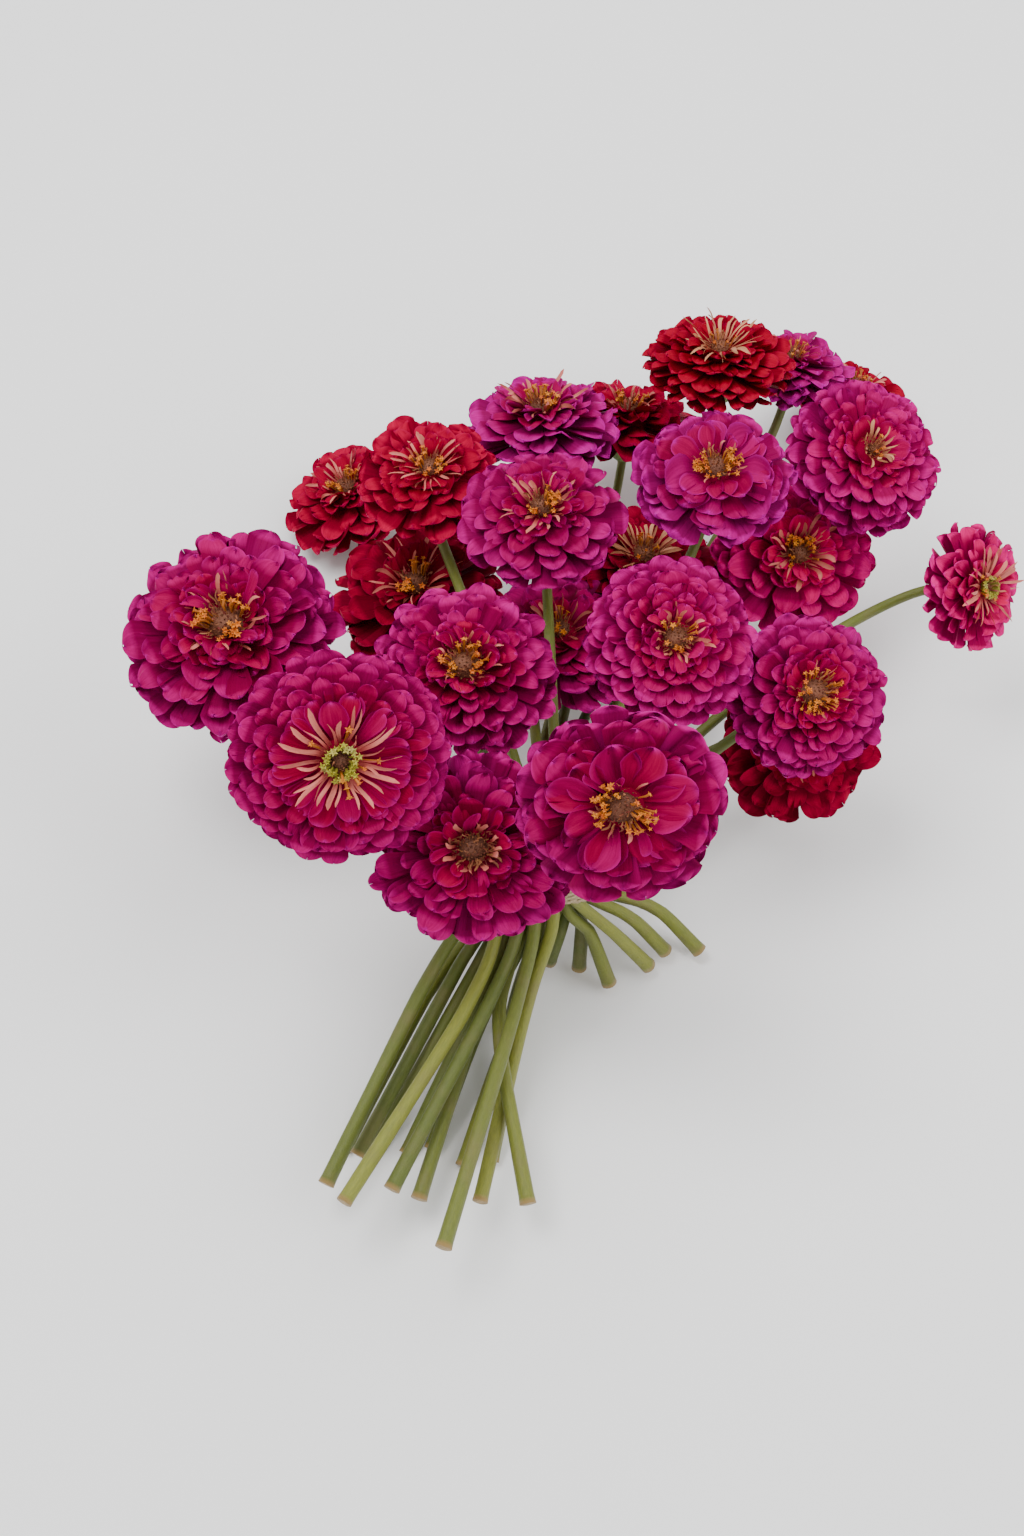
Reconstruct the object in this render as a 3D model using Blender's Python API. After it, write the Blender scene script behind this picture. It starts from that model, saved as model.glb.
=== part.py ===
# Hand-tied bunch of double zinnias, laid down on its splayed stems and two low blooms.
# Sizes below are millimetres; the meshes are written in metres with +Z up.
import math

import bpy
import numpy as np

MM = 0.001
SEATED_GAP = 0.3
STEM_SIDES = 6
THIN = 0.25
STEM_CUT_RADIUS = 3.0
STEM_TIE_RADIUS = 2.4
STEM_NECK_RADIUS = 2.1
CALYX_HEIGHT = 11.0
CALYX_WIDTH = 0.27
NECK_DEPTH = 0.34
HEART_SEAT = 0.19
PETAL_SEGMENTS = 3

TIE_CENTRE = (14.0, -29.0, 50.0)
TIE_AXIS = (0.15, 0.52, 0.84)
TIE_RINGS = ((3.5, 3, 0.3), (9.8, 8, 0.1), (16.4, 12, 0.0))
TIE_INSIDE = 17.2
TIE_BORE = 20.1
TIE_WRAPS = 3
TWINE = 2.6
TIE_SEGMENTS = 22

# Blooms: number, centre x y z, radius, lean of the face, heading of the lean, petals in a
# layer, place in the tie, cut end, own heart piece.
BLOOMS = (
    (1, -111, 52, 100, 45, 17, -122, 10, 20, "t6", True),
    (2, -61, -51, 159, 40, 44, -80, 10, 21, "r5", True),
    (3, -14, -60, 115, 39, 35, -90, 10, 22, "r4", True),
    (4, 38, -70, 158, 38, 44, -88, 10, 11, "r6", True),
    (5, -18, 19, 118, 36, 19, -90, 10, 9, "h6", True),
    (6, 60, 17, 139, 33, 29, -72, 10, 3, "r2", True),
    (7, 114, 14, 109, 33, 32, -62, 10, 12, "r1", True),
    (8, 116, 29, 54, 31, 53, -79, 8, 14, "h1", False),
    (9, 190, 92, 78, 27, 54, -36, 9, 13, "s1", True),
    (10, 148, 148, 96, 34, 25, -49, 10, 4, "s2", True),
    (11, 119, 122, 62, 34, 30, -65, 9, 5, "h2", True),
    (12, 82, 118, 118, 32, 11, -90, 10, 0, "h7", True),
    (13, 90, 211, 88, 33, 14, 90, 9, 1, "h4", False),
    (14, 126, 241, 53, 26, 19, 72, 8, 6, "h3", False),
    (15, 159, 252, 22, 29, 30, 60, 8, 15, "t1", False),
    (16, 12, 95, 120, 33, 9, -109, 10, 10, "r3", True),
    (17, -34, 130, 104, 30, 5, -90, 9, 8, "t7", True),
    (18, -73, 191, 22, 29, 18, 168, 8, 18, "t3", False),
    (19, 13, 183, 80, 35, 18, 99, 9, 2, "h5", False),
    (20, 52, 218, 42, 29, 24, 76, 8, 7, "t4", False),
    (21, -40, 105, 58, 31, 6, -166, 8, 19, "t5", False),
    (22, 55, 121, 57, 30, 8, 45, 8, 16, "t8", False),
    (23, 19, 76, 63, 30, 6, 90, 8, 17, "t2", False),
)

# Cut ends of the stems: the end itself, then a point the stem passes on its way to the tie.
CUT_ENDS = {
    "t1": ((-70, -149, 20), (-23, -56, 45)),
    "t2": ((-62, -163, 34), (-8, -65, 47)),
    "t3": ((-45, -154, 26), (-1, -65, 45)),
    "t4": ((-35, -154, 18), (-9, -72, 34)),
    "t5": ((-25, -181, 34), (9, -60, 46)),
    "t6": ((-12, -156, 20), (7, -67, 33)),
    "t7": ((6, -157, 20), (-5, -80, 36)),
    "t8": ((-59, -133, 12), (-15, -58, 39)),
    "h1": ((-65, -126, 3), (-21, -52, 29)),
    "h2": ((-53, -126, 3), (-12, -63, 36)),
    "h3": ((-41, -128, 3), (-6, -63, 34)),
    "h4": ((-31, -126, 3), (-11, -73, 28)),
    "h5": ((-19, -133, 3), (6, -61, 28)),
    "h6": ((-8, -131, 3), (5, -67, 28)),
    "h7": ((-5, -109, 3), (3, -64, 18)),
    "s1": ((-23, -82, 3), (-5, -55, 26)),
    "s2": ((-2, -73, 3), (8, -50, 26)),
    "r1": ((15, -43, 5), (20, -40, 28)),
    "r2": ((27, -46, 5), (26, -39, 30)),
    "r3": ((39, -53, 5), (29, -44, 34)),
    "r4": ((62, -38, 5), (43, -36, 32)),
    "r5": ((55, -45, 5), (38, -45, 34)),
    "r6": ((76, -38, 5), (51, -28, 27)),
}

# Bloom profile in shares of the radius: radius, height, depth of the notch between petals,
# drop of the notch, turn of the layer in petals.
PROFILE = (
    (0.19, 0.215, 0.00, 0.00, 0.0),
    (0.46, 0.350, 0.09, 0.03, 0.0),
    (0.43, 0.255, 0.09, 0.02, 0.0),
    (0.75, 0.205, 0.08, 0.03, 1.0 / 3.0),
    (0.71, 0.095, 0.08, 0.02, 1.0 / 3.0),
    (0.99, 0.000, 0.07, 0.03, 2.0 / 3.0),
    (0.93, -0.100, 0.07, 0.02, 2.0 / 3.0),
    (0.92, -0.230, 0.07, 0.03, 0.0),
    (0.33, -0.340, 0.00, 0.00, 0.0),
)

HEART_PROFILE = (
    (0.17, 0.00, 0.00, 0.00),
    (0.19, 0.13, 0.22, 0.05),
    (0.11, 0.10, 0.00, 0.00),
    (0.07, 0.18, 0.00, 0.00),
)
HEART_SEGMENTS = 12

TAIL_PARTS = 9
HEAD_PARTS = 13
GUIDE_AT = 5
SUB = 3
ROUTE_STEPS = 260
POLISH_FROM = 190
STEM_CLEARANCE = 0.98


def unit(v):
    v = np.asarray(v, float)
    return v / np.linalg.norm(v)


def facing(lean, heading):
    a = math.radians(lean)
    b = math.radians(heading)
    return np.array([math.sin(a) * math.cos(b), math.sin(a) * math.sin(b), math.cos(a)])


def frame_of(axis):
    u = unit(np.cross(axis, (0.3, 0.5, 0.8)))
    return np.array([u, np.cross(axis, u), axis])


def tie_places():
    axis = unit(TIE_AXIS)
    e1 = unit(np.cross(axis, (0.0, 0.0, 1.0)))
    e2 = np.cross(axis, e1)
    places = []
    for radius, count, phase in TIE_RINGS:
        for k in range(count):
            a = 2.0 * math.pi * k / count + phase
            places.append(radius * (math.cos(a) * e1 + math.sin(a) * e2))
    return np.array(places) + np.array(TIE_CENTRE)


def hermite(p0, m0, p1, m1, parts):
    u = np.linspace(0.0, 1.0, parts + 1)[:, None]
    a = (2 * u**3 - 3 * u**2 + 1) * p0 + (u**3 - 2 * u**2 + u) * m0
    return a + (-2 * u**3 + 3 * u**2) * p1 + (u**3 - u**2) * m1


class Bunch:
    """All blooms and stem lines together, so that each stem can be bent clear of the rest."""

    def __init__(self):
        self.count = len(BLOOMS)
        self.pos = np.array([b[1:4] for b in BLOOMS], float)
        self.rad = np.array([b[4] for b in BLOOMS], float)
        self.face = np.array([facing(b[5], b[6]) for b in BLOOMS])
        self.frames = np.array([frame_of(f) for f in self.face])
        drop = NECK_DEPTH * self.rad + SEATED_GAP + CALYX_HEIGHT
        self.neck = self.pos - self.face * drop[:, None]
        self.axis = unit(TIE_AXIS)
        self.tie = np.array(TIE_CENTRE)
        self.lines = np.array([self.first_line(i) for i in range(self.count)])
        knots = TAIL_PARTS + HEAD_PARTS + 1
        radii = (STEM_CUT_RADIUS, STEM_TIE_RADIUS, STEM_NECK_RADIUS)
        self.knot_rad = np.interp(np.arange(knots), (0, TAIL_PARTS, knots - 1), radii)
        w = np.linspace(0.0, 1.0, SUB, endpoint=False)
        self.w = np.tile(w, knots - 1)
        self.k = np.repeat(np.arange(knots - 1), SUB)
        self.srad = self.knot_rad[self.k] * (1 - self.w) + self.knot_rad[self.k + 1] * self.w
        self.free = np.ones(knots)
        self.free[[0, GUIDE_AT, TAIL_PARTS, knots - 1]] = 0.0

    def first_line(self, i):
        place = tie_places()[BLOOMS[i][8]]
        end, guide = (np.array(p, float) for p in CUT_ENDS[BLOOMS[i][9]])
        neck = self.neck[i]
        through = unit(unit(neck - place) + unit(place - end))
        through = unit(0.6 * through + 0.4 * self.axis)
        low = guide - end
        up = np.linalg.norm(place - guide)
        head = np.linalg.norm(neck - place)
        a = hermite(end, low, guide, low, GUIDE_AT)
        b = hermite(guide, unit(low) * up, place, through * up, TAIL_PARTS - GUIDE_AT)
        c = hermite(place, through * head * 0.9, neck, self.face[i] * head * 0.7, HEAD_PARTS)
        return np.concatenate([a, b[1:], c[1:]])

    def samples(self):
        w = self.w[None, :, None]
        return self.lines[:, self.k] * (1 - w) + self.lines[:, self.k + 1] * w

    def push_stems(self, s):
        flat = s.reshape(-1, 3)
        rad = np.tile(self.srad, self.count)
        owner = np.repeat(np.arange(self.count), len(self.k))
        square = (flat**2).sum(1)
        dist2 = square[:, None] + square[None] - 2.0 * flat @ flat.T
        limit = rad[:, None] + rad[None] + STEM_CLEARANCE
        ii, jj = np.nonzero((dist2 < limit**2) & (owner[:, None] != owner[None]))
        force = np.zeros_like(flat)
        if len(ii):
            d = flat[ii] - flat[jj]
            length = np.linalg.norm(d, axis=1) + 1e-6
            amount = (limit[ii, jj] - length) * 0.5 / length
            np.add.at(force, ii, d * amount[:, None])
            hits = np.bincount(ii, minlength=len(flat))
            force /= np.sqrt(np.maximum(1, hits))[:, None]
        return force.reshape(s.shape)

    def push_bloom(self, s, b, force):
        q = (s - self.pos[b]) @ self.frames[b].T
        edge = self.srad[None, :] + 1.2
        r = self.rad[b]
        rho = np.hypot(q[..., 0], q[..., 1])
        level = ((rho / (r + edge)) ** 3 + np.abs(q[..., 2] / (0.36 * r + edge)) ** 3) ** (1 / 3)
        inside = level < 1.0
        inside[b] &= np.arange(len(self.k)) < len(self.k) - 3 * SUB
        a, c = np.nonzero(inside)
        if not len(a):
            return
        p = q[a, c]
        rp = rho[a, c]
        g = np.stack([p[:, 0] * rp / r**3, p[:, 1] * rp / r**3,
                      p[:, 2] * np.abs(p[:, 2]) / (0.42 * r) ** 3], 1)
        g /= np.linalg.norm(g, axis=1)[:, None] + 1e-9
        depth = np.minimum((1.0 - level[a, c]) * 0.5 * r, 3.0)
        force[a, c] += (g * depth[:, None] * 0.6) @ self.frames[b]

    def push_calyx(self, s, b, force):
        centre = self.pos[b] - self.face[b] * (NECK_DEPTH * self.rad[b] + 5.0)
        d = s - centre
        dist = np.linalg.norm(d, axis=2) + 1e-6
        limit = CALYX_WIDTH * self.rad[b] + 1.0 + self.srad[None, :]
        inside = dist < limit
        inside[b] = False
        amount = np.where(inside, (limit - dist) / dist * 0.6, 0.0)
        force += d * amount[..., None]

    def push_floor(self, s, force):
        low = s[..., 2] - self.srad[None] - 0.3
        force[..., 2] += np.where(low < 0.0, -low * 0.8, 0.0)

    def pull_tie(self, s, force):
        rel = s - self.tie
        along = rel @ self.axis
        radial = rel - along[..., None] * self.axis
        far = np.linalg.norm(radial, axis=2)
        out = (np.abs(along) < 7.0) & (far > TIE_INSIDE)
        amount = np.where(out, (far - TIE_INSIDE) / (far + 1e-6) * 0.6, 0.0)
        force -= amount[..., None] * radial

    def spread(self, force):
        knots = np.zeros_like(self.lines)
        w = self.w[None, :, None]
        np.add.at(knots, (slice(None), self.k), force * (1 - w))
        np.add.at(knots, (slice(None), self.k + 1), force * w)
        return knots / (SUB * 0.5)

    def smoothing(self, line_share, bend_share):
        ghost = (self.lines[:, -1] + self.face * 10.0)[:, None]
        longer = np.concatenate([self.lines, ghost], 1)
        lap = np.zeros_like(self.lines)
        lap[:, 1:] = 0.5 * (self.lines[:, :-1] + longer[:, 2:]) - self.lines[:, 1:]
        bend = np.zeros_like(self.lines)
        bend[:, 2:-1] = lap[:, 2:-1] - 0.5 * (lap[:, 1:-2] + lap[:, 3:])
        return lap * line_share + bend * bend_share

    def step(self, index):
        s = self.samples()
        force = self.push_stems(s)
        for b in range(self.count):
            self.push_bloom(s, b, force)
            self.push_calyx(s, b, force)
        self.push_floor(s, force)
        self.pull_tie(s, force)
        move = self.spread(force)
        polish = index > POLISH_FROM
        smooth = self.smoothing(0.0, 0.06) if polish else self.smoothing(0.045, 0.2)
        self.lines += self.free[None, :, None] * (move * 0.9 + smooth)
        self.lines[:, GUIDE_AT] += move[:, GUIDE_AT] * 0.5
        slide = move[:, TAIL_PARTS]
        slide = slide - (slide @ self.axis)[:, None] * self.axis
        self.lines[:, TAIL_PARTS] += slide * 0.8

    def settle(self):
        for index in range(ROUTE_STEPS):
            self.step(index)


def thin_out(line, tolerance):
    """Keeps only the knots that the line needs to stay within the tolerance."""
    keep = [0, len(line) - 1]
    stack = [(0, len(line) - 1)]
    while stack:
        a, b = stack.pop()
        if b - a < 2:
            continue
        chord = line[b] - line[a]
        rel = line[a + 1:b] - line[a]
        t = np.clip(rel @ chord / (chord @ chord), 0.0, 1.0)
        off = np.linalg.norm(rel - t[:, None] * chord, axis=1)
        if off.max() > tolerance:
            m = a + 1 + int(off.argmax())
            keep.append(m)
            stack += [(a, m), (m, b)]
    return sorted(keep)


def sweep(points, radii, sides):
    """Rings of a round bar along the points, each turned as little as possible."""
    n = len(points)
    step = np.diff(points, axis=0)
    step /= np.linalg.norm(step, axis=1)[:, None]
    tangent = np.array([step[0]] + [unit(step[k - 1] + step[k]) for k in range(1, n - 1)] + [step[-1]])
    side = unit(np.cross(tangent[0], (0.31, 0.17, 0.93)))
    rings = []
    for k in range(n):
        side = unit(side - (side @ tangent[k]) * tangent[k])
        other = np.cross(tangent[k], side)
        a = np.arange(sides) * 2.0 * math.pi / sides
        ring = np.cos(a)[:, None] * side + np.sin(a)[:, None] * other
        rings.append(points[k] + ring * radii[k])
    return rings


def skin(rings, start_pole, end_pole):
    """Closes a list of equal rings into one body, fanned to a pole at each end."""
    n = len(rings[0])
    verts = [start_pole] + [p for ring in rings for p in ring] + [end_pole]
    faces = []
    last = len(verts) - 1
    for j in range(n):
        k = (j + 1) % n
        faces.append((0, 1 + k, 1 + j))
        base = 1 + (len(rings) - 1) * n
        faces.append((last, base + j, base + k))
    for r in range(len(rings) - 1):
        a = 1 + r * n
        for j in range(n):
            k = (j + 1) % n
            faces.append((a + j, a + k, a + n + k, a + n + j))
    return np.array(verts), faces


def stem_mesh(bunch, i):
    line = bunch.lines[i]
    keep = thin_out(line, THIN)
    face = bunch.face[i]
    wide = CALYX_WIDTH * bunch.rad[i]
    points = [line[k] for k in keep]
    radii = [bunch.knot_rad[k] for k in keep]
    for share, width in ((0.30, 0.55), (0.62, 0.96), (1.0, 1.0)):
        points.append(line[-1] + face * CALYX_HEIGHT * share)
        radii.append(wide * width)
    rings = sweep(np.array(points), radii, STEM_SIDES)
    return skin(rings, points[0], points[-1])


def bloom_mesh(bunch, i):
    r = bunch.rad[i]
    petals = BLOOMS[i][7]
    seed = BLOOMS[i][0]
    n = petals * PETAL_SEGMENTS
    frame = bunch.frames[i]
    angle = np.arange(n) * 2.0 * math.pi / n
    rings = []
    for layer, (radius, height, notch, drop, turn) in enumerate(PROFILE):
        place = (np.arange(n) - round(turn * PETAL_SEGMENTS)) % PETAL_SEGMENTS
        gap = (place == 0).astype(float)
        petal = (np.arange(n) - round(turn * PETAL_SEGMENTS)) // PETAL_SEGMENTS % petals
        wave = np.sin(petal * 2.4 + seed * 1.7 + layer) if notch else 0.0
        rad = radius * (1.0 - notch * gap - 0.018 * (1.0 + wave) * (notch > 0))
        high = height - drop * gap + 0.010 * wave
        local = np.stack([rad * np.cos(angle), rad * np.sin(angle), high + 0.0 * angle], 1)
        rings.append(bunch.pos[i] + (local * r) @ frame)
    top = bunch.pos[i] + frame[2] * r * (HEART_SEAT + 0.02 if BLOOMS[i][10] else 0.33)
    under = bunch.pos[i] - frame[2] * r * NECK_DEPTH
    return skin(rings[::-1], under, top)


def heart_mesh(bunch, i):
    r = bunch.rad[i]
    frame = bunch.frames[i]
    angle = np.arange(HEART_SEGMENTS) * 2.0 * math.pi / HEART_SEGMENTS
    base = PROFILE[0][1] * r + SEATED_GAP
    rings = []
    for radius, height, notch, drop in HEART_PROFILE:
        gap = np.arange(HEART_SEGMENTS) % 2
        rad = radius * r * (1.0 - notch * gap) * (1.0 + 0.05 * np.sin(angle * 3 + i) * (notch > 0))
        high = base + (height - drop * gap) * r
        local = np.stack([rad * np.cos(angle), rad * np.sin(angle), high + 0.0 * angle], 1)
        rings.append(bunch.pos[i] + local @ frame)
    under = bunch.pos[i] + frame[2] * base
    top = bunch.pos[i] + frame[2] * (base + 0.15 * r)
    return skin(rings, under, top)


def tie_mesh():
    axis = unit(TIE_AXIS)
    frame = frame_of(axis)
    half = 0.5 * TIE_WRAPS * TWINE
    outline = [(TIE_BORE, -half + 0.5), (TIE_BORE, half - 0.5)]
    for k in range(TIE_WRAPS):
        z = half - TWINE * (k + 0.5)
        outline.append((TIE_BORE + TWINE, z))
        if k < TIE_WRAPS - 1:
            outline.append((TIE_BORE + TWINE * 0.7, z - TWINE * 0.5))
    verts = []
    faces = []
    m = len(outline)
    for s in range(TIE_SEGMENTS):
        a = 2.0 * math.pi * s / TIE_SEGMENTS
        for radius, z in outline:
            local = np.array([radius * math.cos(a), radius * math.sin(a), z])
            verts.append(np.array(TIE_CENTRE) + local @ frame)
    for s in range(TIE_SEGMENTS):
        t = (s + 1) % TIE_SEGMENTS
        for k in range(m):
            j = (k + 1) % m
            faces.append((s * m + k, s * m + j, t * m + j, t * m + k))
    return np.array(verts), faces


def material(name, colour, roughness):
    mat = bpy.data.materials.new(name)
    mat.use_nodes = True
    shader = mat.node_tree.nodes["Principled BSDF"]
    shader.inputs["Base Color"].default_value = (*colour, 1.0)
    shader.inputs["Roughness"].default_value = roughness
    return mat


def volume(verts, faces):
    total = 0.0
    for f in faces:
        for k in range(1, len(f) - 1):
            total += np.dot(verts[f[0]], np.cross(verts[f[k]], verts[f[k + 1]]))
    return total / 6.0


def add_piece(collection, name, mesh_data, shift, colour, roughness):
    verts, faces = mesh_data
    verts = np.maximum((verts - shift), (-1e9, -1e9, 0.0))
    if volume(verts, faces) < 0.0:
        faces = [tuple(reversed(f)) for f in faces]
    mesh = bpy.data.meshes.new(name)
    mesh.from_pydata([tuple(v) for v in verts * MM], [], faces)
    mesh.update()
    obj = bpy.data.objects.new(name, mesh)
    obj.data.materials.append(material(name, colour, roughness))
    collection.objects.link(obj)


RED = (0.46, 0.004, 0.03)
DARK_RED = (0.30, 0.004, 0.03)
MAGENTA = (0.56, 0.004, 0.24)
PURPLE = (0.40, 0.004, 0.25)
BLOOM_COLOURS = {3: PURPLE, 12: PURPLE, 13: RED, 15: RED, 17: RED, 18: RED, 20: RED,
                 8: DARK_RED, 21: DARK_RED, 22: DARK_RED}
REST_ON_FLOOR = 0.35


def all_pieces(bunch):
    pieces = [("tie", tie_mesh(), (0.62, 0.50, 0.31), 0.85)]
    for i, b in enumerate(BLOOMS):
        tag = f"{b[0]:02d}"
        pieces.append((f"bloom_{tag}", bloom_mesh(bunch, i), BLOOM_COLOURS.get(b[0], MAGENTA), 0.6))
        pieces.append((f"stem_{tag}", stem_mesh(bunch, i), (0.19, 0.25, 0.05), 0.6))
        if b[10]:
            pieces.append((f"heart_{tag}", heart_mesh(bunch, i), (0.55, 0.30, 0.08), 0.7))
    return pieces


def clear_scene():
    for obj in list(bpy.data.objects):
        bpy.data.objects.remove(obj, do_unlink=True)


def main():
    clear_scene()
    collection = bpy.data.collections.new("zinnia_bouquet")
    bpy.context.scene.collection.children.link(collection)
    bunch = Bunch()
    bunch.settle()
    pieces = all_pieces(bunch)
    cloud = np.concatenate([p[1][0] for p in pieces])
    low = cloud.min(0)
    high = cloud.max(0)
    shift = np.array([(low[0] + high[0]) / 2, (low[1] + high[1]) / 2, low[2] + REST_ON_FLOOR])
    for name, mesh_data, colour, roughness in pieces:
        add_piece(collection, name, mesh_data, shift, colour, roughness)


main()
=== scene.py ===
# Looks of the zinnia bunch: layered petals, hearts of florets and quills, hairy stems, calyx scales, twine.
import math

import bpy
import numpy as np
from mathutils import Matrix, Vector


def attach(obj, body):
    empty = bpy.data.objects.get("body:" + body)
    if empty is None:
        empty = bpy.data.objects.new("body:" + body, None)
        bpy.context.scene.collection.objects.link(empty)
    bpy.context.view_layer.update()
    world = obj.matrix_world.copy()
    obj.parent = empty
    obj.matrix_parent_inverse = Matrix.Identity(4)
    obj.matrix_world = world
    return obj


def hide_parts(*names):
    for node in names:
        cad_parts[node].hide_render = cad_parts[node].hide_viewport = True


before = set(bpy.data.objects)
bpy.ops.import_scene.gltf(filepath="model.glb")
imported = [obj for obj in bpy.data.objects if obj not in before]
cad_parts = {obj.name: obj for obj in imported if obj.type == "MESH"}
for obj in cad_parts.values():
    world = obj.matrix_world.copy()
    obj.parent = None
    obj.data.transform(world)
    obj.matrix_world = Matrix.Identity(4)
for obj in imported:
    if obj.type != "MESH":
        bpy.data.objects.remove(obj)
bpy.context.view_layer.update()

MM = 0.001
NECK_DEPTH = 0.34
CALYX_HEIGHT = 11.0
CALYX_WIDTH = 0.27
TIE_CENTRE = np.array([14.0, -29.0, 50.0])

# number: centre, radius, lean, heading (as in the CAD), then the look: colour, heart style, squash
BLOOMS = {
    1: ((-111, 52, 100), 45, 17, -122, "magenta", "messy", 0.97),
    2: ((-61, -51, 159), 40, 44, -80, "rose", "quills", 0.93),
    3: ((-14, -60, 115), 39, 35, -90, "purple", "papery", 0.90),
    4: ((38, -70, 158), 38, 44, -88, "crimson", "cone", 0.89),
    5: ((-18, 19, 118), 36, 19, -90, "purple", "messy", 0.95),
    6: ((60, 17, 139), 33, 29, -72, "bright", "tan", 0.97),
    7: ((114, 14, 109), 33, 32, -62, "magenta", "ring", 0.95),
    8: ((116, 29, 54), 31, 53, -79, "darkred", "small", 1.0),
    9: ((190, 92, 78), 27, 54, -36, "darkrose", "quills_small", 1.0),
    10: ((148, 148, 96), 34, 25, -49, "bright", "cream", 1.0),
    11: ((119, 122, 62), 34, 30, -65, "darkrose", "tangled", 0.9),
    12: ((82, 118, 118), 32, 11, -90, "violet", "cone", 0.93),
    13: ((90, 211, 88), 33, 14, 90, "red", "olive", 1.0),
    14: ((126, 241, 53), 26, 19, 72, "violet", "small", 1.0),
    15: ((159, 252, 22), 29, 30, 60, "red", "small", 1.0),
    16: ((12, 95, 120), 33, 9, -109, "crimson", "tangled", 0.96),
    17: ((-34, 130, 104), 30, 5, -90, "scarlet", "tan_quills", 1.0),
    18: ((-73, 191, 22), 29, 18, 168, "scarlet", "tan_quills", 1.0),
    19: ((13, 183, 80), 35, 18, 99, "violet", "tan_quills", 1.0),
    20: ((52, 218, 42), 29, 24, 76, "scarlet", "small", 1.0),
    21: ((-40, 105, 58), 31, 6, -166, "darkred", "tan_quills", 1.0),
    22: ((55, 121, 57), 30, 8, 45, "darkred", "olive", 1.0),
    23: ((19, 76, 63), 30, 6, 90, "purple", "small", 1.0),
}


def node_cloud(name):
    mesh = bpy.data.objects[name].data
    co = np.empty(len(mesh.vertices) * 3)
    mesh.vertices.foreach_get("co", co)
    return co.reshape(-1, 3) / MM


# The CAD lays its pieces out in a working frame; the tie's place in both frames gives the move.
SHIFT = TIE_CENTRE - np.unique(np.round(node_cloud("tie"), 3), axis=0).mean(0)


def unit(v):
    v = np.asarray(v, float)
    return v / np.linalg.norm(v)


def facing(lean, heading):
    a = math.radians(lean)
    b = math.radians(heading)
    return np.array([math.sin(a) * math.cos(b), math.sin(a) * math.sin(b), math.cos(a)])


def frame_of(axis):
    u = unit(np.cross(axis, (0.3, 0.5, 0.8)))
    return np.array([u, np.cross(axis, u), axis])


class Soup:
    """Collects grids of points with a colour key each, and makes one mesh of them."""

    def __init__(self):
        self.verts = []
        self.keys = []
        self.faces = []
        self.count = 0

    def grid(self, points, keys, closed=False):
        rows, cols = points.shape[:2]
        idx = np.arange(rows * cols).reshape(rows, cols) + self.count
        if closed:
            nxt = np.roll(idx, -1, axis=1)
            quads = np.stack([idx[:-1], nxt[:-1], nxt[1:], idx[1:]], 2).reshape(-1, 4)
        else:
            quads = np.stack([idx[:-1, :-1], idx[:-1, 1:], idx[1:, 1:], idx[1:, :-1]], 2).reshape(-1, 4)
        self.verts.append(points.reshape(-1, 3))
        self.keys.append(keys.reshape(-1, 4))
        self.faces.append(quads)
        self.count += rows * cols

    def build(self, name, mat, origin, axes, scale):
        verts = np.concatenate(self.verts) * scale @ axes + origin
        verts[:, 2] = np.maximum(verts[:, 2], 0.1)
        keys = np.concatenate(self.keys)
        faces = np.concatenate(self.faces)
        mesh = bpy.data.meshes.new(name)
        mesh.vertices.add(len(verts))
        mesh.vertices.foreach_set("co", (verts * MM).astype(np.float32).ravel())
        mesh.loops.add(faces.size)
        mesh.loops.foreach_set("vertex_index", faces.astype(np.int32).ravel())
        mesh.polygons.add(len(faces))
        mesh.polygons.foreach_set("loop_start", np.arange(0, faces.size, 4, dtype=np.int32))
        mesh.polygons.foreach_set("loop_total", np.full(len(faces), 4, dtype=np.int32))
        mesh.update(calc_edges=True)
        mesh.validate()
        att = mesh.attributes.new("key", "FLOAT_COLOR", "POINT")
        att.data.foreach_set("color", keys.astype(np.float32).ravel())
        mesh.polygons.foreach_set("use_smooth", np.ones(len(mesh.polygons), dtype=bool))
        obj = bpy.data.objects.new(name, mesh)
        obj.data.materials.append(mat)
        bpy.context.scene.collection.objects.link(obj)
        return obj


def petal_samples(hidden, rows):
    """Places along a petal: few where it is covered, close together near its round tip."""
    u = np.linspace(0, 1, rows - 1)
    return np.concatenate([[0.0], hidden + (1 - hidden) * (1 - (1 - u) ** 1.7)])


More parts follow.
